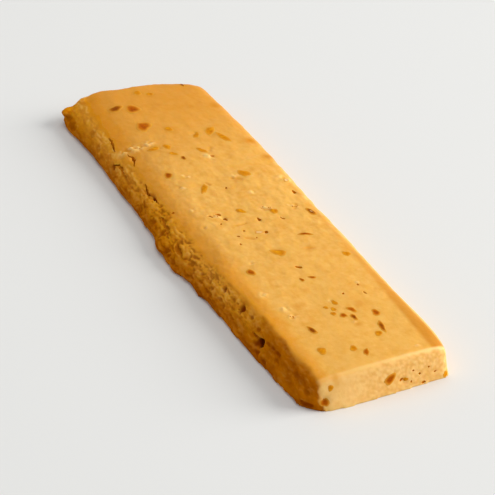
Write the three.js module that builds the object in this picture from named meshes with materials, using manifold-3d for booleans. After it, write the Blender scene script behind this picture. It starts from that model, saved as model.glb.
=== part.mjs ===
// A bar of soft almond nougat, cut from a slab. Millimetres, +Z up, origin at the middle of the flat base.
// +X runs along the bar to its clean cut end, and -Y points out of the long torn side.
import * as THREE from "three";
import { mergeVertices } from "three/addons/utils/BufferGeometryUtils.js";
import Module from "manifold-3d";

const wasm = await Module();
wasm.setup();

// Driving dimensions
const BAR_LENGTH = 200;
const BAR_HEIGHT = 11;
const BAR_WIDTH = 54;
const TOP_WIDTH = 45;
const NEAR_X = BAR_LENGTH / 2;
const FAR_X = -BAR_LENGTH / 2;
const SMOOTH_Y = BAR_WIDTH / 2;
const TORN_Y = SMOOTH_Y - TOP_WIDTH;

// The top is crowned: highest along one line, lower towards both long sides
const CROWN_Y = 8;
const CROWN_FALL = 0.7;
const WAVE = { height: 0.3, along: 19, across: 14, seed: 3 };

// Rounded edges of the top: half axes of an ellipse, and how much of its quarter turn the edge takes
const SMOOTH_ROUND = { width: 4.8, drop: 1.9, arc: 1 };
const NEAR_ROUND = { width: 1.3, drop: 1.1, arc: 1 };
const FAR_ROUND = { width: 3.0, drop: 2.2, arc: 1 };

// The torn shoulder is broad and soft along most of the bar, and tight near the clean cut.
// Below it the side curves out to its foot, by a power of the way up.
const SOFT_SHOULDER = { width: 12, drop: 6.5, arc: 0.8, curve: 2.4 };
const TIGHT_SHOULDER = { width: 2.2, drop: 1.7, arc: 0.95, curve: 1.2 };
const SHOULDER_TIGHTENS = { from: 0, to: 42 };

// The smooth side came out of a mould, so its foot stands out past its top edge
const MOULD_DRAFT = 0.8;

// A knife raised a low lip along the clean cut, and a flake of the top skin stands up over the torn side
const CUT_LIP = { height: 0.25, inset: 1.9, width: 1.7 };
const FLAKE = { from: [-54.1, -8.2], to: [-54.6, -16.2], height: 0.5, width: 1.7 };

// Corner radii seen from above, at the foot and at the top
const CORNERS = {
  farTorn: { foot: 2, top: 5 },
  farSmooth: { foot: 4, top: 4 },
  nearTorn: { foot: 8, top: 1.5 },
  nearSmooth: { foot: 1.5, top: 2.5 },
};

// Outlines seen from above: how far the long edges wander from their straight lines, as [x, offset]
const tornEdge = lineThrough([
  [-96, 0.2], [-66, -0.8], [-54, 0], [-36, -0.2], [-24, -0.8],
  [-7, -2.7], [16, -0.9], [34, -0.7], [48, 0.3], [75, 0.5], [98, 1.3],
]);
const tornFoot = lineThrough([
  [-99, 4.8], [-91, 3.5], [-84, 4.1], [-45, 3.9], [-28, 3.5], [-14, 2.6],
  [0, 0.6], [15, 1.7], [32, 2.6], [60, 3.1], [90, 4.3],
]);
const smoothEdge = lineThrough([
  [-96, -1.9], [-83, -1.1], [-49, 0.4], [-22, 0.8], [-1, 0.3],
  [24, 0.5], [64, 0.3], [87, 0.8], [98, -0.6],
]);

// Outlines of the two ends: how far they stand back from the full length, as [share of the width, setback].
// A negative setback bulges past it.
const farEdge = lineThrough([[0, 2.4], [0.2, 1.9], [0.34, 4.4], [0.5, 4.9], [0.68, 6.4], [1, 13]]);
const farFoot = lineThrough([[0, 0.4], [0.2, 0], [0.4, 0.4], [0.68, 3.2], [1, 9.6]]);
const nearEdge = lineThrough([[0, 1.4], [0.5, 1.1], [1, 2]]);
const nearFoot = lineThrough([[0, 1.2], [0.2, -0.8], [0.5, -0.5], [0.75, 0.4], [1, 1.2]]);

// The torn side is craggy, most of all along its middle
const CRAG = { least: 0.25, most: 0.7, middle: 8, reach: 42, fade: 3 };
const CRAG_SIZES = [{ along: 5, up: 3.2, seed: 1 }, { along: 2.6, up: 1.9, seed: 2 }];
const HOLLOWS = [
  { x: 64, z: 4.4, along: 3.4, up: 2.2, depth: 2.6 },
  { x: 48.5, z: 7.6, along: 2.6, up: 1.6, depth: 1.2 },
  { x: 35, z: 7.2, along: 2.4, up: 1.6, depth: 1.1 },
  { x: -52, z: 4.2, along: 6, up: 1.3, depth: 1.0 },
];

// Low lumps of paste that stayed on the broken far edge, as a place and a size
const FAR_LUMPS = [
  { place: [-95.6, -20.5, 4.6], size: [6.5, 7.5, 4.2] },
  { place: [-95.2, -14.2, 7.4], size: [6.5, 8.5, 4.2] },
];

// Grid of the skin: steps along, across and up
const STEPS_ALONG = 100;
const STEPS_ACROSS = 22;
const STEPS_UP = 7;
const RIM_STEPS = [1.4, 0.9, 0.5, 0.2];
const EDGE_CROWDING = 0.45;
const MERGE_DISTANCE = 1e-4;

// Chopped almond in the top face, as x, y, length, width and turn in degrees
const TOP_ALMONDS = [
  [-82.8, -9.4, 3.7, 2.8, 10], [-80.4, -3.9, 3.9, 3.6, 60], [-67.4, -5.5, 4.6, 3.6, 20],
  [-61.4, 1.9, 2.9, 2.6, 0], [-50.2, -3.1, 3.0, 1.9, 0], [-45.1, -3.1, 2.5, 1.9, 40],
  [-54.9, 14.8, 4.2, 2.2, -35], [-48.4, 16.9, 3.8, 2.0, 15], [-33.0, -10.6, 3.4, 2.4, 20],
  [-23.3, 13.3, 4.2, 2.8, 15], [-19.5, -2.9, 5.6, 1.6, -28], [3.3, 12.0, 2.8, 2.0, 0],
  [-1.4, 2.2, 2.8, 1.9, 30], [8.4, 23.1, 3.8, 2.4, 20], [20.5, 15.2, 3.6, 2.2, 65],
  [27.0, 2.7, 4.4, 4.0, 30], [34.4, -10.4, 3.8, 2.1, 0], [36.7, 22.0, 2.8, 2.0, 0],
  [71.6, 15.2, 3.0, 2.2, 10], [67.0, 9.0, 2.9, 2.1, 40], [71.1, 7.8, 2.9, 1.8, 0],
  [69.1, 5.2, 2.5, 1.9, 20], [82.5, 10.6, 2.9, 1.8, -25], [86.8, 0.0, 2.8, 1.9, 0],
  [84.0, -9.3, 3.8, 2.6, 10], [72.5, -7.1, 4.2, 2.0, 0],
];
const ALMOND_PROUD = 0.3;
const ALMOND_THICKNESS = 1.8;
const CUT_ALMOND = { y: 6.4, z: 4.9, across: 4.0, up: 3.6 };

// Small pits in the top face, as x, y, length, width and turn
const TOP_PITS = [
  [6.8, 5.0, 2.4, 1.3, 0], [8.4, 12.7, 1.6, 1.2, 0], [14.9, 3.8, 2.1, 1.5, 20],
  [37.9, 4.7, 2.2, 1.1, 0], [0.9, -4.8, 3.2, 1.4, 10], [-1.6, -7.4, 2.4, 1.2, -20],
  [-53.9, 8.7, 3.8, 1.2, -20], [-4.7, 23.1, 2.8, 1.2, 0],
];
const PIT_DEPTH = 0.9;
const CUT_PITS = [{ y: 10.6, z: 3.4, size: 1.6 }, { y: -15.6, z: 3.3, size: 2.2 }];

// Cracks over the torn shoulder, as points seen from above
const CRACKS = [
  [[-53.4, -16.2], [-50.8, -15.2], [-48.4, -15.9], [-45.5, -17.1]],
  [[-34.1, -18.0], [-29.8, -18.8], [-26.5, -17.8], [-24.2, -18.4], [-20.4, -18.8]],
];
const CRACK_WIDTH = 0.9;
const CRACK_DEPTH = 2.2;

const NOUGAT_FINISH = new THREE.MeshStandardMaterial({ color: 0xe6a850, roughness: 0.45, metalness: 0 });

function mix(a, b, share) {
  return a + (b - a) * share;
}

// A smooth line through a few [position, value] points
function lineThrough(points) {
  const positions = points.map(([position]) => position);
  const values = points.map(([, value]) => value);
  const curve = new THREE.CubicInterpolant(positions, values, 1);
  return (position) => curve.evaluate(position)[0];
}

// A fixed number from -1 to 1 for each whole-numbered place: the digits of a sine far past its point
const SCATTER = { column: 127.1, row: 311.7, seed: 74.7, stretch: 43758.5453 };

function scatter(column, row, seed) {
  const angle = column * SCATTER.column + row * SCATTER.row + seed * SCATTER.seed;
  const spread = Math.sin(angle) * SCATTER.stretch;
  return 2 * (spread - Math.floor(spread)) - 1;
}

// Smooth noise from -1 to 1, the same on every run
function noise(x, y, seed) {
  const column = Math.floor(x);
  const row = Math.floor(y);
  const across = THREE.MathUtils.smoothstep(x - column, 0, 1);
  const up = THREE.MathUtils.smoothstep(y - row, 0, 1);
  const low = mix(scatter(column, row, seed), scatter(column + 1, row, seed), across);
  const high = mix(scatter(column, row + 1, seed), scatter(column + 1, row + 1, seed), across);
  return mix(low, high, up);
}

// A hump of height 1 at 0 that fades out at 1
function hump(distance) {
  return 1 - THREE.MathUtils.smoothstep(Math.abs(distance), 0, 1);
}

// How far a rounded edge has dropped at a distance in from that edge
function roundDrop(distance, { width, drop, arc }) {
  const share = arc * Math.min(Math.max(1 - distance / width, 0), 1);
  return drop * (1 - Math.sqrt(1 - share * share));
}

// Distance of a point from a straight line between two points, all seen from above
function distanceToLine(x, y, from, to) {
  const line = new THREE.Line3(new THREE.Vector3(...from, 0), new THREE.Vector3(...to, 0));
  const point = new THREE.Vector3(x, y, 0);
  return line.closestPointToPoint(point, true, new THREE.Vector3()).distanceTo(point);
}

// The torn shoulder's measures at a place along the bar
function tornShoulder(x) {
  const tight = THREE.MathUtils.smoothstep(x, SHOULDER_TIGHTENS.from, SHOULDER_TIGHTENS.to);
  const measures = Object.entries(SOFT_SHOULDER);
  return Object.fromEntries(measures.map(([name, soft]) => [name, mix(soft, TIGHT_SHOULDER[name], tight)]));
}

// Bounds of the bar, seen from above, at a share of the way up from the foot to the top edge.
// The far end leans in only towards its top.
function farLine(across, rise) {
  return FAR_X + mix(farFoot(across), farEdge(across), rise * rise);
}

function nearLine(across, rise) {
  return NEAR_X - mix(nearFoot(across), nearEdge(across), rise);
}

function tornLine(x, rise) {
  return mix(-SMOOTH_Y + tornFoot(x), TORN_Y + tornEdge(x), rise ** tornShoulder(x).curve);
}

function smoothLine(x, rise) {
  return SMOOTH_Y + smoothEdge(x) + mix(MOULD_DRAFT, 0, rise);
}

function cornerRadius(along, across, rise) {
  const end = along < 0.5 ? "far" : "near";
  const side = across < 0.5 ? "Torn" : "Smooth";
  const { foot, top } = CORNERS[end + side];
  return mix(foot, top, rise);
}

// A place seen from above, with its distances in from the nearest end and the nearest long side
function planPlace(along, across, rise) {
  const far = farLine(across, rise);
  const near = nearLine(across, rise);
  const straightX = mix(far, near, along);
  const torn = tornLine(straightX, rise);
  const smooth = smoothLine(straightX, rise);
  const straightY = mix(torn, smooth, across);
  const endward = along < 0.5 ? -1 : 1;
  const sideward = across < 0.5 ? -1 : 1;
  let fromEnd = along < 0.5 ? straightX - far : near - straightX;
  let fromSide = across < 0.5 ? straightY - torn : smooth - straightY;
  const radius = cornerRadius(along, across, rise);
  const shift = { end: 0, side: 0 };
  if (fromEnd < radius && fromSide < radius) {
    const out = [radius - fromEnd, radius - fromSide];
    const pull = Math.max(...out) / Math.hypot(...out);
    shift.end = out[0] * (1 - pull);
    shift.side = out[1] * (1 - pull);
  }
  fromEnd += shift.end;
  fromSide += shift.side;
  const x = straightX - endward * shift.end;
  const y = straightY - sideward * shift.side;
  return { x, y, fromEnd, fromSide, isFar: along < 0.5, isTorn: across < 0.5 };
}

function topHeight({ x, y, fromEnd, fromSide, isFar, isTorn }) {
  const crown = CROWN_FALL * ((y - CROWN_Y) / (TOP_WIDTH / 2)) ** 2;
  const wave = WAVE.height * noise(x / WAVE.along, y / WAVE.across, WAVE.seed);
  const sideDrop = roundDrop(fromSide, isTorn ? tornShoulder(x) : SMOOTH_ROUND);
  const endDrop = roundDrop(fromEnd, isFar ? FAR_ROUND : NEAR_ROUND);
  const lip = isFar ? 0 : CUT_LIP.height * hump((fromEnd - CUT_LIP.inset) / CUT_LIP.width);
  const flake = FLAKE.height * hump(distanceToLine(x, y, FLAKE.from, FLAKE.to) / FLAKE.width);
  return BAR_HEIGHT - crown + wave - sideDrop - endDrop + lip + flake;
}

// How far the torn side stands out or in at a place along it and a height
function cragOffset(x, z) {
  const strength = mix(CRAG.least, CRAG.most, hump((x - CRAG.middle) / CRAG.reach));
  const crags = CRAG_SIZES.reduce((sum, { along, up, seed }) => sum + noise(x / along, z / up, seed), 0);
  const hollow = HOLLOWS.reduce((deepest, { x: at, z: height, along, up, depth }) => {
    const far = Math.hypot((x - at) / along, (z - height) / up);
    return Math.max(deepest, depth * hump(far));
  }, 0);
  return strength * crags + hollow;
}

// A point of the skin: along, across and rise run from 0 to 1 over the bar
function skinPoint(along, across, rise) {
  const place = planPlace(along, across, rise);
  const rim = rise === 1 ? place : planPlace(along, across, 1);
  const z = rise * topHeight(rim);
  const fade = place.isTorn ? hump(place.fromSide / CRAG.fade) : 0;
  return new THREE.Vector3(place.x, place.y + fade * cragOffset(place.x, z), z);
}

// Steps from 0 to 1 that crowd towards both ends
function crowdedSteps(count) {
  return Array.from({ length: count + 1 }, (_, step) => {
    const even = step / count;
    const crowded = 0.5 - 0.5 * Math.cos(Math.PI * even);
    return mix(even, crowded, EDGE_CROWDING);
  });
}

function evenSteps(count) {
  return Array.from({ length: count + 1 }, (_, step) => step / count);
}

// Even steps along the bar, with finer ones over the rim of the clean cut
function stepsAlong() {
  const rim = RIM_STEPS.map((distance) => 1 - distance / BAR_LENGTH);
  return [...evenSteps(STEPS_ALONG).slice(0, -1), ...rim, 1];
}

// Adds a sheet of triangles from rows of points that run anticlockwise seen from outside
function addSheet(triangles, rows) {
  for (let row = 0; row + 1 < rows.length; row += 1) {
    for (let column = 0; column + 1 < rows[row].length; column += 1) {
      const [a, b] = [rows[row][column], rows[row][column + 1]];
      const [d, c] = [rows[row + 1][column], rows[row + 1][column + 1]];
      triangles.push(a, b, c, a, c, d);
    }
  }
}

// The bare bar: top, two long sides, two ends and a flat base
function bareBar() {
  const along = stepsAlong();
  const across = crowdedSteps(STEPS_ACROSS);
  const up = evenSteps(STEPS_UP);
  const back = (steps) => [...steps].reverse();
  const triangles = [];
  addSheet(triangles, across.map((v) => along.map((u) => skinPoint(u, v, 1))));
  addSheet(triangles, up.map((w) => along.map((u) => skinPoint(u, 0, w))));
  addSheet(triangles, up.map((w) => back(along).map((u) => skinPoint(u, 1, w))));
  addSheet(triangles, up.map((w) => across.map((v) => skinPoint(1, v, w))));
  addSheet(triangles, up.map((w) => back(across).map((v) => skinPoint(0, v, w))));
  const outline = [
    ...along.slice(0, -1).map((u) => skinPoint(u, 0, 0)),
    ...across.slice(0, -1).map((v) => skinPoint(1, v, 0)),
    ...back(along).slice(0, -1).map((u) => skinPoint(u, 1, 0)),
    ...back(across).slice(0, -1).map((v) => skinPoint(0, v, 0)),
  ];
  const flat = outline.map((point) => new THREE.Vector2(point.x, point.y));
  for (const [a, b, c] of THREE.ShapeUtils.triangulateShape(flat, [])) {
    triangles.push(outline[a], outline[c], outline[b]);
  }
  return new THREE.BufferGeometry().setFromPoints(triangles);
}

// Turns a closed geometry into a solid that can be joined and cut
function toSolid(geometry) {
  const bare = new THREE.BufferGeometry().setAttribute("position", geometry.getAttribute("position"));
  bare.setIndex(geometry.getIndex());
  const joined = mergeVertices(bare, MERGE_DISTANCE);
  const vertProperties = Float32Array.from(joined.getAttribute("position").array);
  const triVerts = Uint32Array.from(joined.getIndex().array);
  return new wasm.Manifold(new wasm.Mesh({ numProp: 3, vertProperties, triVerts }));
}

function toGeometry(solid) {
  const { vertProperties, triVerts } = solid.getMesh();
  const geometry = new THREE.BufferGeometry();
  geometry.setAttribute("position", new THREE.BufferAttribute(vertProperties, 3));
  geometry.setIndex(new THREE.BufferAttribute(triVerts, 1));
  return geometry;
}

// A few-sided lump of a given size, turned about the upright axis and set at a place
function lump(size, turn, place) {
  const geometry = new THREE.IcosahedronGeometry(0.5, 0);
  geometry.scale(...size);
  geometry.rotateZ(THREE.MathUtils.degToRad(turn));
  geometry.translate(...place);
  return toSolid(geometry);
}

// A thin slit along a zigzag seen from above, pointed at both ends
function crackSlit(points, top) {
  const half = CRACK_WIDTH / 2;
  const inner = points.slice(1, -1);
  const outline = [
    points[0],
    ...inner.map(([x, y]) => [x, y - half]),
    points[points.length - 1],
    ...inner.map(([x, y]) => [x, y + half]).reverse(),
  ];
  const shape = new THREE.Shape(outline.map(([x, y]) => new THREE.Vector2(x, y)));
  const geometry = new THREE.ExtrudeGeometry(shape, { depth: top, bevelEnabled: false });
  geometry.translate(0, 0, top - CRACK_DEPTH);
  return toSolid(geometry);
}

// Height of the bare bar's skin straight above a place
function heightAbove(skin, x, y) {
  const caster = new THREE.Raycaster(new THREE.Vector3(x, y, 2 * BAR_HEIGHT), new THREE.Vector3(0, 0, -1));
  return caster.intersectObject(skin)[0].point.z;
}

function addAlmonds(bar, skin) {
  const sunk = ALMOND_PROUD - ALMOND_THICKNESS / 2;
  let solid = bar;
  for (const [x, y, length, width, turn] of TOP_ALMONDS) {
    const place = [x, y, heightAbove(skin, x, y) + sunk];
    solid = solid.add(lump([length, width, ALMOND_THICKNESS], turn, place));
  }
  const { y, z, across, up } = CUT_ALMOND;
  return solid.add(lump([ALMOND_THICKNESS, across, up], 0, [NEAR_X - nearEdge(0.5) + sunk, y, z]));
}

function addFarLumps(bar) {
  return FAR_LUMPS.reduce((solid, { place, size }) => solid.add(lump(size, 0, place)), bar);
}

function cutPits(bar, skin) {
  let solid = bar;
  for (const [x, y, length, width, turn] of TOP_PITS) {
    solid = solid.subtract(lump([length, width, 2 * PIT_DEPTH], turn, [x, y, heightAbove(skin, x, y)]));
  }
  for (const { y, z, size } of CUT_PITS) {
    solid = solid.subtract(lump([2 * size, size, size], 0, [NEAR_X - nearEdge(0.5), y, z]));
  }
  return solid;
}

function cutCracks(bar, skin) {
  return CRACKS.reduce((solid, points) => {
    const [x, y] = points[1];
    return solid.subtract(crackSlit(points, heightAbove(skin, x, y)));
  }, bar);
}

// Puts the middle of the base at the origin
function centreOnBase(geometry) {
  geometry.computeBoundingBox();
  const middle = geometry.boundingBox.getCenter(new THREE.Vector3());
  return geometry.translate(-middle.x, -middle.y, -geometry.boundingBox.min.z);
}

function nougatBar() {
  const bare = bareBar();
  const skin = new THREE.Mesh(bare);
  const whole = addFarLumps(addAlmonds(toSolid(bare), skin));
  const solid = cutCracks(cutPits(whole, skin), skin);
  const bar = new THREE.Mesh(centreOnBase(toGeometry(solid)), NOUGAT_FINISH);
  bar.name = "nougat_bar";
  return bar;
}

const nougat = new THREE.Group();
nougat.add(nougatBar());
nougat.traverse((piece) => piece.isMesh && piece.geometry.computeVertexNormals());

export default nougat;
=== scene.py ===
# %% [markdown]
# # A bar of soft almond nougat
# Soft nougat is ground almond, honey and sugar, pressed in a tray and portioned. This bar has an oily
# moulded top with chopped almonds in it, one end that a knife cut, and one long side torn off its slab.
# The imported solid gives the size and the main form. The lesson adds the fine skin, the almonds and the
# light, all in the solid's own frame.

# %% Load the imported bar
import math

import bmesh
import bpy
import numpy as np
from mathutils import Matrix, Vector, noise
from mathutils.bvhtree import BVHTree
from mathutils.kdtree import KDTree


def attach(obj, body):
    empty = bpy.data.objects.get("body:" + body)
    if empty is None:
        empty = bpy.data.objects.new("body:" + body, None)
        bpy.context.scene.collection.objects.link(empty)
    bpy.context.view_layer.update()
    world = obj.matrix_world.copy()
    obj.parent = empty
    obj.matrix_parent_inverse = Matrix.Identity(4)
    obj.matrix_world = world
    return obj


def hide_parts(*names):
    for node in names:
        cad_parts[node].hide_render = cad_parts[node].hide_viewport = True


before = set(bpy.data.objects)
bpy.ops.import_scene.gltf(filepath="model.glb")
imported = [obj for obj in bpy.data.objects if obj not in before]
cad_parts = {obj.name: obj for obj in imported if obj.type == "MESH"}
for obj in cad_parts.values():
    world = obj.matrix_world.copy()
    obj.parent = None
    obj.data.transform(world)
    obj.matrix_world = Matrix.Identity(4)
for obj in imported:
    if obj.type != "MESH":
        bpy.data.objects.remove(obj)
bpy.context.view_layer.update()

MM = 0.001
packed_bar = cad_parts["nougat_bar"]

# %% [markdown]
# ## Camera
# A food photographer stands back with a long lens, so the bar hardly narrows with distance. The camera
# looks along the bar from its cut end, a third of the way up from the table. It is set by its direction
# and distance from a point on the bar, because those read more plainly than a location and three angles.

# %% Aim the camera
CAMERA_AZIMUTH = math.radians(65.6)
CAMERA_ELEVATION = math.radians(31.6)
CAMERA_DISTANCE = 980.6 * MM
CAMERA_AIM = Vector((4.21, 0.98, -0.2)) * MM
SENSOR_WIDTH = 36.0
PICTURE_SIDE = 495
FOCAL_PIXELS = 3006


def show(piece):
    bpy.context.scene.collection.objects.link(piece)
    return piece


def aimed_camera():
    data = bpy.data.cameras.new("table_camera")
    data.sensor_width = SENSOR_WIDTH
    data.lens = SENSOR_WIDTH * FOCAL_PIXELS / PICTURE_SIDE
    back = Vector((
        math.sin(CAMERA_AZIMUTH) * math.cos(CAMERA_ELEVATION),
        -math.cos(CAMERA_AZIMUTH) * math.cos(CAMERA_ELEVATION),
        math.sin(CAMERA_ELEVATION),
    ))
    camera = show(bpy.data.objects.new("table_camera", data))
    camera.location = CAMERA_AIM + back * CAMERA_DISTANCE
    camera.rotation_euler = back.to_track_quat("Z", "Y").to_euler()
    return camera


bpy.context.scene.camera = aimed_camera()
print("camera lens, mm:", round(bpy.context.scene.camera.data.lens, 1))

# %% [markdown]
# ## Table and light
# The bar lies on a pale table. A large soft panel, low and far off to the right, lights the smooth side and
# the cut end and leaves the torn side on the left in shade. A small lamp could light them too, but its
# shadows would be hard. A weak panel overhead lifts the top, and a pale room on all sides fills the shadows
# and gives the oily top its milky sheen. The Standard view keeps colours as they are set.

# %% Lay the floor
FLOOR_SIDE = 3.0
FLOOR_COLOUR = (0.80, 0.80, 0.785, 1.0)
FLOOR_ROUGHNESS = 0.7


def floor_material():
    material = bpy.data.materials.new("pale_table")
    material.use_nodes = True
    shader = material.node_tree.nodes["Principled BSDF"]
    shader.inputs["Base Color"].default_value = FLOOR_COLOUR
    shader.inputs["Roughness"].default_value = FLOOR_ROUGHNESS
    return material


def pale_floor():
    half = FLOOR_SIDE / 2
    mesh = bpy.data.meshes.new("floor")
    corners = [(-half, -half, 0), (half, -half, 0), (half, half, 0), (-half, half, 0)]
    mesh.from_pydata(corners, [], [(0, 1, 2, 3)])
    mesh.materials.append(floor_material())
    return show(bpy.data.objects.new("floor", mesh))


pale_floor()
print("floor side, m:", FLOOR_SIDE)

# %% Hang the lights
KEY_PLACE = Vector((0.90, 2.55, 1.29))
KEY_SIZE = (1.85, 1.85)
KEY_POWER = 93.0
TOP_PLACE = Vector((-0.30, 0.13, 1.24))
TOP_SIZE = (0.8, 0.8)
TOP_POWER = 2.8
WARM_WHITE = (1.0, 0.99, 0.97)
WORLD_COLOUR = (0.98, 0.99, 1.0, 1.0)
WORLD_STRENGTH = 0.48


def soft_panel(name, place, size, power):
    data = bpy.data.lights.new(name, "AREA")
    data.shape = "RECTANGLE"
    data.size, data.size_y = size
    data.energy = power
    data.color = WARM_WHITE
    panel = show(bpy.data.objects.new(name, data))
    panel.location = place
    panel.rotation_euler = place.to_track_quat("Z", "Y").to_euler()


def pale_world():
    world = bpy.data.worlds.new("pale_room")
    world.use_nodes = True
    background = world.node_tree.nodes["Background"]
    background.inputs["Color"].default_value = WORLD_COLOUR
    background.inputs["Strength"].default_value = WORLD_STRENGTH
    return world


soft_panel("key_panel", KEY_PLACE, KEY_SIZE, KEY_POWER)
soft_panel("top_panel", TOP_PLACE, TOP_SIZE, TOP_POWER)
bpy.context.scene.world = pale_world()
bpy.context.scene.view_settings.view_transform = "Standard"

# %% [markdown]
# ## Fine skin
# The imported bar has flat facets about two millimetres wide, and soft paste has none. A voxel remesh gives
# the same form an even, fine net of points, and averaging each point with its neighbours, round after
# round, melts the facets. The knife drew the cut edge round, so that end is averaged longer. The base keeps
# its sharp edge, because averaging fades out close to the table. A Smooth modifier could do this too, but
# the next steps need the points as numbers.

# %% Remesh the bar
VOXEL = 0.41 * MM


def mesh_arrays(mesh):
    points = np.empty(len(mesh.vertices) * 3, np.float32)
    edges = np.empty(len(mesh.edges) * 2, np.int32)
    mesh.vertices.foreach_get("co", points)
    mesh.edges.foreach_get("vertices", edges)
    return points.reshape(-1, 3).astype(float) / MM, edges.reshape(-1, 2)


def remeshed_copy(source):
    work = show(bpy.data.objects.new("nougat_voxels", source.data.copy()))
    remesh = work.modifiers.new("fine_net", "REMESH")
    remesh.mode = "VOXEL"
    remesh.voxel_size = VOXEL
    depsgraph = bpy.context.evaluated_depsgraph_get()
    mesh = bpy.data.meshes.new_from_object(work.evaluated_get(depsgraph))
    bpy.data.objects.remove(work)
    return mesh


fine_mesh = remeshed_copy(packed_bar)
fine_points, fine_edges = mesh_arrays(fine_mesh)
print("fine net, points:", len(fine_points))

# %% Melt the facets
MELT_ROUNDS = 12
MELT_SHARE = 0.5
SHARP_FOOT = (0.3, 1.6)
RIM_ROUNDS = 36
ROUND_RIM_X = (92, 95)


def ramp(values, low, high):
    share = np.clip((values - low) / (high - low), 0, 1)
    return share * share * (3 - 2 * share)


def averaged(values, edges, share, rounds):
    """Each row of values, drawn towards the mean of its neighbours' rows."""
    here = np.concatenate([edges[:, 0], edges[:, 1]])
    there = np.concatenate([edges[:, 1], edges[:, 0]])
    neighbours = np.bincount(here, minlength=len(values))[:, None]
    for _ in range(rounds):
        sums = [np.bincount(here, column[there], len(values)) for column in values.T]
        values = values + share * (np.stack(sums, axis=1) / neighbours - values)
    return values


melt = MELT_SHARE * ramp(fine_points[:, 2], *SHARP_FOOT)[:, None]
fine_points = averaged(fine_points, fine_edges, melt, MELT_ROUNDS)
rim_melt = melt * ramp(fine_points[:, 0], *ROUND_RIM_X)[:, None]
fine_points = averaged(fine_points, fine_edges, rim_melt, RIM_ROUNDS)
print("melted height, mm:", round(fine_points[:, 2].max(), 2))

# %% [markdown]
# ## Torn, cut and moulded skin
# The relief and the colour both depend on how each face came to be: pressed against the tray, cut by the
# knife, torn off, or broken. The torn side starts at a crest that runs the length of the bar, so it is told
# by place. The direction that the skin faces tells the others apart. The directions are averaged first, so
# that a crag does not count as a face of its own.

# %% Tell the faces apart
FACING_ROUNDS = 14
TORN_CREST = [
    (-101, -15.2), (-95, -16.4), (-87, -17.4), (-72, -18.2), (-59, -18.6), (-42, -18.4), (-18, -18.6),
    (0, -19.5), (12, -19.8), (31, -18.8), (48, -17.8), (65, -17.2), (81, -17.1), (97, -16.6),
]
CREST_BLEND = (-0.7, 1.1)
CREST_JAG = 0.9
CREST_JAG_GRAIN = {"size": 4.0, "seed": 53.0}
CUT_FACING = (0.55, 0.85)
CUT_JAG = 0.22
CUT_JAG_GRAIN = {"size": 1.8, "seed": 59.0}
CUT_LATE = 0.3
CUT_FROM_X = 88
BROKEN_FACING = (0.35, 0.7)
BROKEN_TO_X = -80
# The rim mask paints a highlight along the rounded rim over the cut end, stronger towards the lit right
# side.
RIM_FACING = (0.12, 0.4)
RIM_Y = (-18, -5, 10, 25)
RIM_SHARE = (0.35, 0.5, 0.8, 1.0)


def put_points(mesh, points):
    mesh.vertices.foreach_set("co", (points * MM).astype(np.float32).ravel())
    mesh.update()


def point_normals(mesh):
    normals = np.empty(len(mesh.vertices) * 3, np.float32)
    mesh.vertex_normals.foreach_get("vector", normals)
    return normals.reshape(-1, 3).astype(float)


def grain(points, size, seed):
    """Smooth noise from -1 to 1, with grains of that size in millimetres."""
    spots = points / np.array(size) + seed
    return np.array([noise.noise(spot) for spot in spots.tolist()])


def along_bar(points, at_x, values):
    """A value that changes along the bar, from its values at a few places."""
    return np.interp(points[:, 0], at_x, values)


def below_crest(points):
    """How far out from the ragged crest each point lies, in millimetres."""
    straight = along_bar(points, *zip(*TORN_CREST)) - points[:, 1]
    return straight + CREST_JAG * grain(points, **CREST_JAG_GRAIN)


def face_kinds(points, facing, crest_gap):
    """Masks from 0 to 1 of the torn side, the cut end, the broken end and the rim over the cut."""
    torn = ramp(crest_gap, *CREST_BLEND)
    near_cut = points[:, 0] > CUT_FROM_X
    end_facing = facing[:, 0] + CUT_JAG * grain(points, **CUT_JAG_GRAIN) - CUT_LATE * torn
    cut = ramp(end_facing, *CUT_FACING) * near_cut
    broken = ramp(-facing[:, 0], *BROKEN_FACING) * (points[:, 0] < BROKEN_TO_X)
    rim = ramp(facing[:, 0], *RIM_FACING) * near_cut * (1 - cut)
    rim = rim * np.interp(points[:, 1], RIM_Y, RIM_SHARE)
    return {"torn": torn * (1 - cut), "cut": cut, "broken": broken * (1 - torn), "rim": rim * (1 - torn)}


put_points(fine_mesh, fine_points)
normals = point_normals(fine_mesh)
facing = averaged(normals, fine_edges, MELT_SHARE, FACING_ROUNDS)
facing /= np.linalg.norm(facing, axis=1, keepdims=True)
crest_gap = below_crest(fine_points)
masks = face_kinds(fine_points, facing, crest_gap)
print("mean of each kind:", {kind: round(float(mask.mean()), 3) for kind, mask in masks.items()})

# %% [markdown]
# ## Relief of the torn side
# Torn paste shows lumps drawn out along the tear and parted by dark creases, strongest along the middle of
# the side. Folded noise gives the broad lumps: where smooth noise crosses zero, its absolute value has a
# sharp crease. Three layers of plain noise add the finer fibres. A bump in the material would be quicker,
# but it wouldn't show in the outline, so the relief moves real points. The same numbers later paint shade
# into the creases and a highlight onto the raised lumps.

# %% Shape the lumps
FOLD_GAIN = 2.2
FIBRE_GAIN = 0.8
FIBRE_MIDDLE = 0.5
WARP_SIZE = 3.4
WARP_SEEDS = (31.0, 47.0, 63.0)
WARP_REACH = 0.8
TORN_ROUGH = [
    (-100, 0.2), (-60, 0.3), (-30, 1.0), (0, 1.1), (30, 1.0), (60, 0.4), (75, 0.2), (100, 0.15),
]
# The creases between the lumps get painted shade
CREASED = (0.48, 0.72)
RIDGED = (0.48, 0.74)
CREASE_SHARE = 0.6
FAINT_MASK = 0.01


def folded(points, size, seed):
    """Rounded lumps: 0 in the sharp creases between them, up to 1 on top."""
    return np.minimum(1.0, FOLD_GAIN * np.abs(grain(points, size, seed)))


def fibrous(points, size, seed):
    """Soft ridges and furrows, from 0 to 1."""
    return np.clip(FIBRE_MIDDLE + FIBRE_GAIN * grain(points, size, seed), 0, 1)


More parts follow.
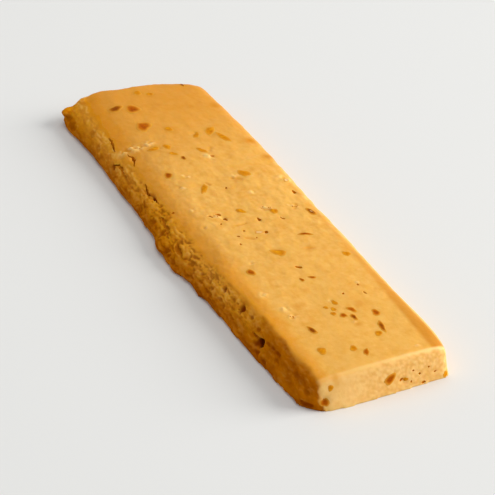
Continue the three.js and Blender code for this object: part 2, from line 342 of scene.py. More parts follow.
TORN_LAYERS = [
    {"shape": folded, "size": (9.0, 2.4, 1.8), "height": 0.16, "seed": 2.0},
    {"shape": fibrous, "size": (5.0, 1.3, 1.0), "height": 0.20, "seed": 9.0},
    {"shape": fibrous, "size": (2.0, 0.8, 0.7), "height": 0.18, "seed": 17.0},
    {"shape": fibrous, "size": (1.2, 0.7, 0.6), "height": 0.18, "seed": 37.0},
]


def torn_lumps(points):
    """The lumps' height in millimetres, then the shares, from 0 to 1, of crease and of ridge."""
    warp = [grain(points, WARP_SIZE, seed) for seed in WARP_SEEDS]
    warped = points + WARP_REACH * np.stack(warp, axis=1)
    whole = sum(layer["height"] for layer in TORN_LAYERS)
    height = np.zeros(len(points))
    for layer in TORN_LAYERS:
        height += layer["height"] * layer["shape"](warped, layer["size"], layer["seed"])
    share = height / whole
    return height - whole / 2, ramp(1 - share, *CREASED), ramp(share, *RIDGED)


relief = np.zeros(len(fine_points))
crease = np.zeros(len(fine_points))
ridge = np.zeros(len(fine_points))
rough = masks["torn"] > FAINT_MASK
lump_height, lump_crease, lump_ridge = torn_lumps(fine_points[rough])
torn_rough = masks["torn"][rough] * along_bar(fine_points[rough], *zip(*TORN_ROUGH))
relief[rough] += torn_rough * lump_height
# Painted shade in the creases
crease[rough] = CREASE_SHARE * torn_rough * lump_crease
ridge[rough] = masks["torn"][rough] * lump_ridge
print("torn relief, mm:", round(relief.min(), 2), "to", round(relief.max(), 2))

# %% [markdown]
# ## Marks on the torn side
# Lumps that stayed on the slab left hollows: one deep hole, a row of notches under the top edge, and many
# shallow dents. Their places were read from the photograph. Each is an oval whose rim noise makes ragged.
# It presses the skin in and darkens it with painted shade. The deep hole is only begun here. Its crisp edge
# is cut later, with the pits.

# %% Press the hollows
# Each hollow is its x and z, its reach along the bar and up, its depth and its darkness
TORN_HOLLOWS = [
    (47.4, 7.2, 2.4, 1.5, 0.9, 1.0), (41.9, 7.2, 1.9, 0.8, 0.3, 0.6), (54.1, 7.7, 1.8, 0.8, 0.3, 0.7),
    (60.3, 7.0, 1.6, 0.9, 0.3, 0.6), (63.3, 3.9, 2.6, 1.4, 0.3, 1.0),
    (68.5, 6.5, 2.2, 0.7, 0.2, 0.7), (71.5, 6.8, 2.0, 0.6, 0.2, 0.7),
    (74.7, 6.7, 2.8, 0.8, 0.2, 0.75), (64.8, 2.2, 2.3, 1.0, 0.4, 0.9), (69.9, 1.7, 2.7, 1.0, 0.3, 0.85),
    (75.6, 4.9, 2.6, 0.8, 0.2, 0.55), (87.0, 6.8, 2.5, 1.2, 0.2, 0.55), (94.6, 5.2, 2.0, 1.4, 0.2, 0.5),
    (96.1, 1.3, 2.3, 1.3, 0.5, 0.95), (35.1, 7.2, 1.4, 1.0, 0.5, 0.75), (29.3, 4.9, 1.5, 0.7, 0.35, 0.6),
    (27.2, 6.1, 1.2, 0.6, 0.3, 0.5), (21.7, 5.7, 1.5, 0.7, 0.35, 0.6), (14.6, 5.6, 1.6, 0.8, 0.35, 0.6),
    (17.0, 5.0, 1.4, 0.7, 0.3, 0.5), (38.7, 3.7, 1.5, 0.8, 0.3, 0.5), (36.0, 4.5, 1.3, 0.7, 0.3, 0.5),
    (1.0, 3.8, 2.3, 1.2, 0.5, 0.6), (6.8, 2.8, 2.5, 1.2, 0.4, 0.6), (-7.3, 5.5, 2.1, 1.6, 0.5, 0.7),
    (-16.4, 4.4, 2.5, 1.6, 0.4, 0.6), (-68.4, 5.0, 2.4, 1.4, 0.15, 0.4), (-63.8, 4.0, 2.2, 1.2, 0.15, 0.4),
    (-75.7, 6.3, 2.2, 1.3, 0.2, 0.45), (-89.2, 3.2, 4.0, 1.8, 0.3, 0.5), (-93.3, 4.0, 3.0, 1.6, 0.3, 0.5),
    (-54.8, 4.6, 1.8, 1.0, 0.5, 0.8), (60.2, 5.1, 2.6, 0.5, 0.2, 0.9),
]
HOLLOW_RIM = (0.3, 1.0)
HOLLOW_RAGGED = 0.7
HOLLOW_GRAIN = {"size": 1.3, "seed": 23.0}


def hollow_shares(points):
    """How deep each point is pressed in, in millimetres, and how dark it is, from 0 to 1."""
    depth, dark = np.zeros(len(points)), np.zeros(len(points))
    ragged = 1 + HOLLOW_RAGGED * grain(points, **HOLLOW_GRAIN)
    for x, z, along, up, deepest, darkest in TORN_HOLLOWS:
        reach = np.hypot((points[:, 0] - x) / along, (points[:, 2] - z) / up) * ragged
        share = 1 - ramp(reach, *HOLLOW_RIM)
        depth = np.maximum(depth, deepest * share)
        dark = np.maximum(dark, darkest * share)
    return depth, dark


hollow_depth, hollow_dark = hollow_shares(fine_points[rough])
relief[rough] -= masks["torn"][rough] * hollow_depth
# Painted shade in the hollows
crease[rough] = np.maximum(crease[rough], masks["torn"][rough] * hollow_dark)
print("hollows:", len(TORN_HOLLOWS))

# %% [markdown]
# ## Grain of the other faces
# The cut end is smeared smooth towards the torn side and mealy towards the other. The broken end is coarser.
# The moulded skin is smooth, but for shallow dents and fine ripples, strongest along the middle of the bar.
# Each grain is smooth noise of its own size. On the two ends it is worked out only where the mask shows.

# %% Grain the ends and the moulded skin
CUT_HEIGHT = 0.10
CUT_GRAIN = {"size": 0.9, "seed": 0.0}
CUT_SMOOTH_TO_Y = -12
CUT_GRAINY_FROM_Y = 4
CUT_LEAST_GRAIN = 0.25
MEAL_GRAIN = {"size": 1.1, "seed": 67.0}
MEAL_PATCHY = (-0.4, 0.5)
BROKEN_HEIGHT = 0.45
BROKEN_GRAIN = {"size": 2.4, "seed": 7.0}
DENT_HEIGHT = 0.25
DENT_GRAIN = {"size": (4.6, 3.4, 3.4), "seed": 3.0}
RIPPLE_HEIGHT = 0.10
RIPPLE_GRAIN = {"size": (1.9, 1.2, 1.2), "seed": 11.0}
WORKED_MIDDLE_X = -10
WORKED_REACH = 55
WORKED_LEAST = 0.4


def soft_spot(distance, width):
    """1 at no distance, and close to 0 at twice the width."""
    return np.exp(-((distance / width) ** 2))


moulded = 1 - np.maximum(masks["torn"], masks["cut"])
mealy = ramp(fine_points[:, 1], CUT_SMOOTH_TO_Y, CUT_GRAINY_FROM_Y)
cut_height = CUT_HEIGHT * masks["cut"] * (CUT_LEAST_GRAIN + (1 - CUT_LEAST_GRAIN) * mealy)
sliced = masks["cut"] > FAINT_MASK
relief[sliced] += cut_height[sliced] * grain(fine_points[sliced], **CUT_GRAIN)
broken_height = BROKEN_HEIGHT * masks["broken"]
snapped = masks["broken"] > FAINT_MASK
relief[snapped] += broken_height[snapped] * grain(fine_points[snapped], **BROKEN_GRAIN)
masks["meal"] = masks["cut"] * mealy
masks["meal"][sliced] *= ramp(grain(fine_points[sliced], **MEAL_GRAIN), *MEAL_PATCHY)
worked = soft_spot(fine_points[:, 0] - WORKED_MIDDLE_X, WORKED_REACH)
dented = moulded * (WORKED_LEAST + (1 - WORKED_LEAST) * worked)
relief += DENT_HEIGHT * dented * grain(fine_points, **DENT_GRAIN)
relief += RIPPLE_HEIGHT * dented * grain(fine_points, **RIPPLE_GRAIN)
print("whole relief, mm:", round(relief.min(), 2), "to", round(relief.max(), 2))

# %% [markdown]
# ## Scuffed skin
# Where the skin was pulled, it stands up in pale ragged flakes: in one line over the torn shoulder and in
# small scrapes. A scuff is a line or a spot with a soft edge. Its noise roughens the skin, and its mask is
# kept, because scuffed paste is paler and duller too. Between the scuffs are short, shallow furrows, such as
# a dragged bit of almond leaves.

# %% Roughen the scuffs
SCUFF_LINES = [
    {
        "corners": [(-54.1, -8.9), (-54.2, -11.1), (-54.1, -13.3), (-55.2, -15.1), (-56.1, -17.6)],
        "width": 1.6,
    },
    {"corners": [(-38.6, 4.6), (-36.0, 6.0)], "width": 1.0},
    {"corners": [(-15.6, 22.2), (-13.6, 24.2)], "width": 1.3},
    {"corners": [(-1.4, 24.4), (0.2, 24.6)], "width": 1.0},
    {"corners": [(0.2, -6.2), (-2.6, -10.0)], "width": 0.6},
    {"corners": [(-0.2, 7.4), (0.4, 9.8), (2.0, 10.4)], "width": 0.9},
    {"corners": [(1.8, 16.8), (3.8, 19.0)], "width": 0.5},
    {"corners": [(-30.2, -7.0), (-28.2, -5.4)], "width": 0.6},
    {"corners": [(-24.0, -11.0), (-22.2, -9.6)], "width": 0.6},
]
# Each spot is its x, y and radius
SCUFF_SPOTS = [
    (47.9, -13.5, 1.3), (58.2, -10.5, 1.5), (63.2, -10.4, 1.4),
    (29.4, -8.9, 0.8), (-8.7, -12.6, 0.9), (2.9, -13.7, 0.9),
    (-10.4, 9.2, 1.3), (-22.2, 8.3, 1.1), (-96.2, -16.1, 1.1),
    (60.0, 3.9, 0.8), (54.0, 16.0, 0.7), (74.3, 5.5, 0.7), (93.7, 16.8, 0.8),
]
SCUFF_HEIGHT = 0.9
SCUFF_GRAIN = {"size": (1.7, 1.2, 1.2), "seed": 5.0}
SCUFF_PATCHY = (-0.4, 0.25)
SCUFF_FAINT = 0.02
TOP_FROM_Z = 5.5


def line_distance(points, start, end):
    start, end = np.array(start), np.array(end)
    along = end - start
    share = np.clip((points[:, :2] - start) @ along / (along @ along), 0, 1)
    return np.linalg.norm(points[:, :2] - start - share[:, None] * along, axis=1)


def spot_distance(points, x, y):
    return np.hypot(points[:, 0] - x, points[:, 1] - y)


def soft_line(points, corners, width):
    """1 on a line of corners, fading to 0 beside it."""
    parts = [line_distance(points, start, end) for start, end in zip(corners, corners[1:])]
    return soft_spot(np.min(parts, axis=0), width)


def on_top(points):
    return points[:, 2] > TOP_FROM_Z


def scuff_mask(points):
    lines = [soft_line(points, **line) for line in SCUFF_LINES]
    spots = [soft_spot(spot_distance(points, x, y), radius) for x, y, radius in SCUFF_SPOTS]
    return np.max(lines + spots, axis=0) * on_top(points)


scuffed = scuff_mask(fine_points)
ragged = scuffed > SCUFF_FAINT
scuff_grain = grain(fine_points[ragged], **SCUFF_GRAIN)
relief[ragged] += SCUFF_HEIGHT * scuffed[ragged] * scuff_grain
scuffed[ragged] *= ramp(scuff_grain, *SCUFF_PATCHY)
scuffed[~ragged] = 0
print("scuffed points:", int(ragged.sum()))

# %% Draw the furrows
FURROWS = [
    [(2.1, 19.3), (4.9, 17.6)], [(6.7, -3.9), (6.2, -0.5)], [(14.6, -4.3), (16.3, -2.2)],
    [(-22.5, -2.0), (-20.8, -1.4)], [(-21.5, 6.9), (-19.4, 9.6)], [(-1.1, 0.0), (-0.1, 2.0)],
    [(28.7, 10.7), (29.5, 12.5)], [(-43.1, 8.8), (-40.7, 7.4)], [(1.6, 8.2), (2.3, 9.9)],
    [(-52.8, -11.2), (-50.1, -6.9)],
]
FURROW_WIDTH = 0.5
FURROW_DEPTH = 0.2


def furrow_mask(points):
    lines = [soft_line(points, corners, FURROW_WIDTH) for corners in FURROWS]
    return np.max(lines, axis=0) * on_top(points)


furrowed = furrow_mask(fine_points)
relief -= FURROW_DEPTH * furrowed
print("furrows:", len(FURROWS))

# %% [markdown]
# ## Moved skin
# So far the relief is only a height for each point. Now each point moves along its normal by its height,
# which fades out at the table so that the base stays flat. The foot of the torn side is tucked in, which
# gives it a line of shade. Towards the cut end the upper edge of that side stands out a little and is
# sharper. Displace modifiers could make these moves too, but here the numbers stay at hand for the colours.

# %% Move the skin and flatten the base
BASE_FACING = -0.8
BASE_REACH = 0.3
FOOT_FADE = (0.2, 1.4)
FOOT_TUCK = 0.6
FOOT_TUCK_UP = 1.1
CREST_PUSH = 0.9
CREST_PUSH_X = (15, 40)
CREST_PUSH_GAP = (-1.5, 0.0)
CREST_PUSH_Z = (3.5, 8.5)


def crest_push(points):
    """How far the edge of the torn side stands out towards the cut end, in millimetres."""
    x, _, z = points.T
    along = CREST_PUSH * ramp(x, *CREST_PUSH_X)
    return along * ramp(crest_gap, *CREST_PUSH_GAP) * ramp(z, *CREST_PUSH_Z)


def flattened(points, facing):
    points = points.copy()
    base = (facing[:, 2] < BASE_FACING) & (points[:, 2] < BASE_REACH)
    points[base, 2] = 0
    points[:, 2] = np.maximum(points[:, 2], 0)
    return points


unmoved_points = fine_points
foot_fade = ramp(fine_points[:, 2], *FOOT_FADE)
fine_points = fine_points + normals * (relief * foot_fade)[:, None]
fine_points[:, 1] += FOOT_TUCK * masks["torn"] * (1 - ramp(unmoved_points[:, 2], 0, FOOT_TUCK_UP))
fine_points[:, 1] -= crest_push(unmoved_points)
fine_points = flattened(fine_points, normals)
put_points(fine_mesh, fine_points)
print("height with relief, mm:", round(fine_points[:, 2].max(), 2))

# %% Join the faces of the base
NET_CORNERS = 4


def one_face_base(mesh):
    """The base needs no net of points: its faces become one, which is then split into long triangles."""
    work = bmesh.new()
    work.from_mesh(mesh)
    base = [face for face in work.faces if all(corner.co.z == 0 for corner in face.verts)]
    bmesh.ops.dissolve_faces(work, faces=base, use_verts=True)
    joined = [face for face in work.faces if len(face.verts) > NET_CORNERS]
    bmesh.ops.triangulate(work, faces=joined)
    work.to_mesh(mesh)
    work.free()


one_face_base(fine_mesh)
print("faces after the base:", len(fine_mesh.polygons))

# %% [markdown]
# ## Pits and cracks
# Air bubbles and bits that fell out left small pits, a lump that came away left one deep hole in the torn
# side, and the paste cracked along the shoulder and the torn side. They are cut with Booleans, because their
# edges are crisper than the net of points. Each cutter is a small closed lump or a tapering slit, set on the
# skin by a ray cast straight at it.

# %% Set points on the skin
DOWN = Vector((0, 0, -1))
INTO_TORN = Vector((0, 1, 0))
INTO_CUT = Vector((-1, 0, 0))
RAY_START = 0.2


def skin_tree(mesh):
    mesh.calc_loop_triangles()
    corners = [tri.vertices[:] for tri in mesh.loop_triangles]
    return BVHTree.FromPolygons([vertex.co for vertex in mesh.vertices], corners)


def on_skin(tree, across, direction):
    """Point and normal of the skin where a ray in that direction meets it.

    across is x and y under a ray down, x and z into the torn side, y and z into the cut end.
    """
    first, second = across[0] * MM, across[1] * MM
    if direction is DOWN:
        start = Vector((first, second, 0))
    elif direction is INTO_TORN:
        start = Vector((first, 0, second))
    else:
        start = Vector((0, first, second))
    place, normal, _, _ = tree.ray_cast(start - direction * RAY_START, direction)
    return place, normal


uncut_tree = skin_tree(fine_mesh)
print("skin height at the middle, mm:", round(on_skin(uncut_tree, (0, 0), DOWN)[0].z / MM, 2))

# %% Shape the pit cutters
# Each pit is its place under a ray, as on_skin takes it, then its length, width and turn
TOP_PITS = [
    (5.9, 4.3, 2.4, 1.2, 0), (8.5, 11.5, 2.0, 1.1, 20), (14.0, 3.1, 1.9, 1.2, 20),
    (38.3, 3.3, 2.6, 1.4, 30), (1.1, -5.5, 2.4, 1.1, 12), (-1.9, -6.7, 2.2, 1.2, 35),
    (-2.0, -9.5, 1.9, 1.3, 40), (-5.8, 22.4, 2.6, 1.0, 0), (-16.5, 2.6, 1.3, 0.8, 0),
    (10.5, -3.1, 1.2, 0.8, 0), (12.8, -6.1, 1.2, 0.7, 30), (17.4, -7.4, 1.4, 0.7, 0),
    (15.9, -1.1, 0.9, 0.6, 0), (-37.2, 6.7, 1.8, 0.7, 70), (55.2, 15.7, 1.0, 0.8, 0),
    (58.1, 9.2, 1.0, 0.8, 0), (-12.2, -18.3, 1.3, 0.9, 0), (60.3, 15.7, 1.5, 0.8, 20),
    (3.5, -8.1, 1.2, 0.7, -30),
]
CUT_END_PITS = [
    (9.2, 3.9, 1.6, 1.3, 0), (15.4, 4.2, 0.9, 0.8, 0), (16.7, 0.9, 1.5, 0.9, 0),
    (13.2, 5.9, 0.9, 0.6, 20), (12.4, 2.3, 0.8, 0.7, 0), (18.6, 5.6, 0.8, 0.6, 40), (20.8, 3.4, 0.9, 0.6, 0),
]
TORN_PITS = [(63.2, 3.9, 3.9, 2.1, -45)]
# How deep a pit is for its width, then the least and the most width that count for this
PIT_DEPTH = 0.36
TORN_PIT_DEPTH = 1.5
PIT_WIDTHS = (0.8, 1.6)
PIT_SIDES = 13
PIT_RINGS = ((0.0, -1.0), (0.55, -0.82), (0.92, -0.3), (1.08, 0.25), (0.0, 0.6))
PIT_UNEVEN = 0.3
OUTLINE_WAVES = ((2, 0.5), (3, 0.32), (5, 0.16))
ENDWISE = 0.8
PIT_SEED = 21


def surface_axes(normal, turn):
    """Two directions along the skin, the first turned from the bar's length by that many degrees."""
    length_axis = Vector((1, 0, 0)) if abs(normal.x) < ENDWISE else Vector((0, 1, 0))
    along = (length_axis - normal * length_axis.dot(normal)).normalized()
    across = normal.cross(along)
    angle = math.radians(turn)
    first = along * math.cos(angle) + across * math.sin(angle)
    return first, normal.cross(first)


def uneven_reach(angles, uneven, rng):
    """How far an outline reaches at each angle: about 1, with a few waves round it at random turns."""
    turns = rng.uniform(0, math.tau, len(OUTLINE_WAVES))
    waves = [size * np.cos(count * angles + turn) for (count, size), turn in zip(OUTLINE_WAVES, turns)]
    return 1 + uneven * sum(waves)


def ring_faces(bands, sides):
    """Faces of a lump: a point, that many bands between rings of that many sides, and a point."""
    faces = []
    for band in range(bands):
        base = 1 + band * sides
        for side in range(sides):
            beside = (side + 1) % sides
            faces.append((base + side, base + beside, base + sides + beside, base + sides + side))
    top = 1 + bands * sides
    last = top + sides
    for side in range(sides):
        beside = (side + 1) % sides
        faces.append((0, 1 + beside, 1 + side))
        faces.append((last, top + side, top + beside))
    return faces


def ringed_lump(place, normal, size, rings, sides, uneven, rng, lay=None):
    """A closed lump of rings of points round the normal. Its outline is softly uneven, alike in every ring.

    size is length, width, height and turn. Each ring is its share of the outline and of the height. lay
    moves a point to the height of its ring over the skin, where the lump follows the skin.
    """
    length, width, height, turn = size
    first, second = surface_axes(normal, turn)
    angles = np.arange(sides) * math.tau / sides
    reach = uneven_reach(angles, uneven, rng)
    points = []
    for share, level in rings:
        centre = place + normal * (level * height * MM)
        spots = angles if share > 0 else angles[:1]
        for angle, far in zip(spots, reach):
            out = first * (math.cos(angle) * length) + second * (math.sin(angle) * width)
            spot = centre + out * (share * far * MM / 2)
            points.append(lay(spot, normal, level * height) if lay else spot)
    full_rings = sum(share > 0 for share, _ in rings)
    return points, ring_faces(full_rings - 1, sides)


def pit_cutters(tree):
    rng = np.random.default_rng(PIT_SEED)
    lots = (
        (TOP_PITS, DOWN, PIT_DEPTH),
        (CUT_END_PITS, INTO_CUT, PIT_DEPTH),
        (TORN_PITS, INTO_TORN, TORN_PIT_DEPTH),
    )
    for pits, direction, depth in lots:
        for first, second, length, width, turn in pits:
            place, normal = on_skin(tree, (first, second), direction)
            size = (length, width, depth * float(np.clip(width, *PIT_WIDTHS)), turn)
            yield ringed_lump(place, normal, size, PIT_RINGS, PIT_SIDES, PIT_UNEVEN, rng)


pit_shapes = list(pit_cutters(uncut_tree))
print("pits:", len(pit_shapes))

# %% Shape the cracks
TOP_CRACKS = [
    [(-68.0, -18.4), (-65.8, -18.3), (-63.6, -18.8), (-61.4, -19.0), (-59.4, -19.5)],
    [(-54.0, -17.2), (-52.4, -16.6), (-51.2, -16.2), (-49.2, -16.6), (-46.0, -18.0)],
    [(-34.6, -18.9), (-30.3, -19.6), (-28.3, -19.6), (-27.0, -18.7), (-24.7, -19.3), (-20.9, -19.7)],
]
TORN_CRACKS = [
    [(-55.6, 4.4), (-53.0, 6.1), (-48.9, 5.9), (-46.0, 5.6), (-43.6, 5.2)],
    [(-28.6, 5.7), (-25.2, 4.7), (-22.5, 3.7)], [(-14.8, 6.6), (-11.2, 6.7), (-5.9, 6.6), (-1.8, 5.7)],
    [(2.1, 6.1), (6.7, 5.8), (8.9, 5.4)], [(58.0, 5.8), (59.6, 5.3), (61.2, 4.8), (62.8, 4.4)],
]
CRACK_WIDTH = 1.0
CRACK_TIP = 0.15
CRACK_SWELL = 0.7
CRACK_FLOOR = 0.3
CRACK_DEPTH = 1.8
CRACK_ABOVE = 0.8
CRACK_STEP = 0.8
CRACK_JITTER = 0.2
CRACK_SEED = 5
SLIT_CORNERS = 4


def stepped_line(corners, rng):
    """Points every small step along a line of corners, pushed a little to and fro."""
    steps = []
    for start, end in zip(corners, corners[1:]):
        start, end = np.array(start), np.array(end)
        count = max(2, round(np.linalg.norm(end - start) / CRACK_STEP))
        steps += [start + (end - start) * share / count for share in range(count)]
    steps.append(np.array(corners[-1]))
    return [step + rng.uniform(-1, 1, 2) * CRACK_JITTER for step in steps]


def crack_cutter(tree, route, direction, rng):
    """A closed slit that is widest in the middle of its route and narrows as it goes in."""
    steps = stepped_line(route, rng)
    sideways = Vector((0, 1, 0)) if direction is DOWN else Vector((0, 0, 1))
    points = []
    for number, step in enumerate(steps):
        place, _ = on_skin(tree, step, direction)
        swell = math.sin(math.pi * number / (len(steps) - 1)) ** CRACK_SWELL
        half = sideways * (CRACK_WIDTH * MM / 2 * (CRACK_TIP + (1 - CRACK_TIP) * swell))
        outside = place - direction * (CRACK_ABOVE * MM)
        inside = place + direction * (CRACK_DEPTH * MM)
        points += [outside - half, outside + half, inside + half * CRACK_FLOOR, inside - half * CRACK_FLOOR]
    corners = range(SLIT_CORNERS)
    faces = [tuple(corners), tuple(len(points) - 1 - corner for corner in corners)]
    for ring in range(0, len(points) - SLIT_CORNERS, SLIT_CORNERS):
        following = ring + SLIT_CORNERS
        for corner in corners:
            beside = (corner + 1) % SLIT_CORNERS
            faces.append((ring + corner, following + corner, following + beside, ring + beside))
    return points, faces


def crack_cutters(tree):
    rng = np.random.default_rng(CRACK_SEED)
    for cracks, direction in ((TOP_CRACKS, DOWN), (TORN_CRACKS, INTO_TORN)):
        for route in cracks:
            yield crack_cutter(tree, route, direction, rng)


crack_shapes = list(crack_cutters(uncut_tree))
print("cracks:", len(crack_shapes))

# %% Cut them out of the skin


def joined_mesh(name, shapes):
    """One mesh of many closed shapes, each its points and its faces, with all faces turned outwards."""
    points, faces = [], []
    for shape_points, shape_faces in shapes:
        start = len(points)
        points += shape_points
        faces += [tuple(start + corner for corner in face) for face in shape_faces]
    mesh = bpy.data.meshes.new(name)
    mesh.from_pydata(points, [], faces)
    work = bmesh.new()
    work.from_mesh(mesh)
    bmesh.ops.recalc_face_normals(work, faces=work.faces)
    work.to_mesh(mesh)
    work.free()
    return mesh


def cut_mesh(mesh, shapes):
    """The mesh with each set of closed shapes taken away in turn."""
    body = show(bpy.data.objects.new("nougat_uncut", mesh))
    tools = []
    for number, group in enumerate(shapes):
        tool = show(bpy.data.objects.new(f"cutter_{number}", joined_mesh(f"cutter_{number}", group)))
        cut_step = body.modifiers.new(f"cut_{number}", "BOOLEAN")
        cut_step.operation = "DIFFERENCE"
        cut_step.solver = "MANIFOLD"
        cut_step.object = tool
        tools.append(tool)
    depsgraph = bpy.context.evaluated_depsgraph_get()
    result = bpy.data.meshes.new_from_object(body.evaluated_get(depsgraph))
    for spent in tools + [body]:
        bpy.data.objects.remove(spent)
    return result


body_mesh = cut_mesh(fine_mesh, [pit_shapes, crack_shapes])
print("faces after the cuts:", len(body_mesh.polygons))

# %% Mark the walls of the cuts
WALL_DEPTH = 0.04 * MM
BASE_CLEAR = 0.1 * MM


def wall_marks(mesh, tree):
    """1 for each face under the old skin, which is a wall of a pit or a crack, and 0 for the others."""
    marks = []
    for face in mesh.polygons:
        _, _, _, distance = tree.find_nearest(face.center)
        marks.append(int(distance > WALL_DEPTH and face.center.z > BASE_CLEAR))
    return marks


walls = wall_marks(body_mesh, uncut_tree)
print("wall faces:", sum(walls))

# %% [markdown]
# ## Almonds under the skin
# The almonds were toasted and chopped, then pressed into the top. Some only show through the paste as soft
# amber stains. Of those that break the top, all but the pale ones have an oily ring round them. A few more
# show in the cut end. Geometry Nodes could scatter bits at random, but here their places were read from the
# photograph. They are listed first, in four kinds: amber flesh, toasted flesh, dark skin and pale flesh.

# %% List the bits
# Each bit is its place under a ray, as on_skin takes it, then its length, width and turn
AMBER_BITS = [
    (-88.4, 0.9, 2.4, 2.2, 0), (-85.9, 4.4, 2.0, 1.8, 0), (-60.5, 0.8, 2.4, 2.0, 10),
    (-50.6, -8.9, 1.7, 3.6, 0), (-49.6, -4.4, 2.8, 1.8, 0), (-44.4, -4.4, 2.3, 1.7, 40),
    (-53.8, 13.2, 4.8, 2.2, -25), (-52.8, 7.7, 3.4, 1.6, -22), (-48.0, 15.6, 6.2, 1.7, 20),
    (-42.2, 5.2, 3.4, 1.6, 20), (-22.6, 11.9, 4.0, 2.5, 15), (-19.4, -4.0, 5.2, 1.5, -28),
    (3.6, 10.7, 2.6, 1.8, 0), (-1.4, 1.1, 2.6, 1.7, 30), (27.2, 1.4, 3.8, 3.0, 30),
    (36.7, 20.8, 2.6, 1.8, 0), (61.5, 4.6, 2.2, 1.3, 0), (64.7, 2.7, 2.0, 1.2, 20),
    (67.1, 1.5, 1.9, 1.2, 0), (62.8, 1.0, 1.6, 1.0, 40), (82.7, 9.3, 2.7, 1.6, -25),
    (87.1, -1.4, 2.5, 1.7, 0), (83.8, -10.4, 2.8, 2.3, 10),
]
TOASTED_BITS = [
    (-78.6, -5.0, 4.2, 4.2, 60), (-66.0, -6.2, 4.8, 4.2, 20), (-32.6, -11.2, 2.8, 2.0, 20),
    (34.2, -11.5, 2.8, 2.2, 0), (71.6, 13.9, 2.9, 2.0, 10), (67.2, 7.7, 2.8, 1.7, 40),
    (69.3, 3.9, 2.3, 1.6, 20), (20.5, 14.0, 3.4, 1.3, 65), (45.4, 4.6, 1.9, 1.2, 50),
    (45.3, 1.1, 1.8, 1.0, 0), (90.6, 1.2, 3.0, 1.4, -33),
]
SKIN_BITS = [
    (-87.9, 17.6, 2.2, 1.2, 0), (-81.7, -10.1, 3.6, 3.8, 10), (-40.1, -2.5, 2.0, 1.4, 0),
    (72.5, -8.3, 3.8, 1.6, 15), (71.3, 6.5, 2.7, 1.5, 0), (79.4, 12.0, 5.0, 1.5, -5),
    (8.3, 21.9, 3.6, 1.9, 20),
]
PALE_BITS = [(8.5, 22.1, 1.6, 0.9, 20), (13.2, 1.0, 1.6, 2.4, 10), (-13.5, 23.0, 2.0, 1.2, 0)]
CUT_TOASTED_BITS = [(5.2, 5.3, 3.0, 2.5, 35), (-16.4, 2.6, 2.2, 2.0, 0)]
CUT_AMBER_BITS = [(-14.5, 7.2, 1.2, 1.8, 0), (10.6, 3.6, 1.4, 1.0, 0), (24.6, 1.3, 1.6, 1.4, 0)]
print("bits on top:", len(AMBER_BITS) + len(TOASTED_BITS) + len(SKIN_BITS) + len(PALE_BITS))

# %% [markdown]
# ## Masks on the skin
# What the material has to know about each place is stored on the points of the skin as plain numbers: how
# torn, scuffed or stained it is, and how much painted shade or painted highlight it gets, in the creases and
# hollows, on the raised lumps, along the edges and towards the far end. A painted picture could hold it too,
# but the skin would have to be unwrapped first. The cut mesh has some new points, and each takes the numbers
# of the nearest old one.

# %% Stain the skin round the almonds
# Each stain is its x, y, radius and strength
FAINT_STAINS = [
    (-60.2, 0.8, 2.0, 0.9), (-88.4, 1.0, 1.7, 0.8), (-85.2, 4.2, 1.5, 0.7), (-77.2, 4.6, 1.3, 0.5),
    (-19.9, 8.7, 1.7, 0.7), (29.0, 11.6, 1.5, 0.7), (65.3, 11.4, 1.9, 0.5), (75.5, 5.8, 1.5, 0.6),
    (58.3, -6.6, 1.7, 0.5), (-70.0, 22.3, 2.2, 1.0), (-42.6, 23.0, 2.0, 1.0), (-30.5, 24.2, 2.2, 0.9),
    (-50.5, -8.2, 2.2, 0.4), (97.6, -12.6, 1.3, 0.5), (21.8, -2.6, 2.2, 0.2), (40.4, 8.1, 2.4, 0.2),
    (-88.1, 17.8, 1.6, 0.9), (-92.9, -14.9, 1.3, 0.6), (-7.2, 11.7, 1.1, 0.3), (-13.5, 7.3, 1.1, 0.3),
    (-72.8, 10.5, 1.3, 0.45), (-71.6, 14.0, 1.4, 0.55), (-66.6, 6.6, 1.2, 0.3),
    (39.1, -2.8, 0.9, 0.3), (0.2, -5.0, 2.0, 0.3), (44.6, 10.2, 1.0, 0.35), (50.9, -0.4, 1.2, 0.35),
    (-21.6, 4.0, 0.9, 0.35),
]
FURROW_STAIN = 0.55
HALO_STRENGTH = 0.22
HALO_REACH = 0.8
HALO_POWER = 4
STAIN_SHOWS = 0.1


def bit_halo(points, x, y, length, width, turn):
    """The oily ring round a bit: an oval that is even inside and fades fast at its edge."""
    angle = math.radians(turn)
    along = (points[:, 0] - x) * math.cos(angle) + (points[:, 1] - y) * math.sin(angle)
    across = (points[:, 1] - y) * math.cos(angle) - (points[:, 0] - x) * math.sin(angle)
    reach = np.hypot(along / length, across / width) / HALO_REACH
    return HALO_STRENGTH * np.exp(-(reach ** HALO_POWER))


def stain_mask(points):
    mask = np.zeros(len(points))
    for x, y, radius, strength in FAINT_STAINS:
        mask = np.maximum(mask, strength * soft_spot(spot_distance(points, x, y), radius))
    for bit in AMBER_BITS + TOASTED_BITS + SKIN_BITS:
        mask = np.maximum(mask, bit_halo(points, *bit))
    return mask * on_top(points)


masks["stain"] = np.maximum(stain_mask(unmoved_points), FURROW_STAIN * furrowed)
print("stained points:", int((masks["stain"] > STAIN_SHOWS).sum()))

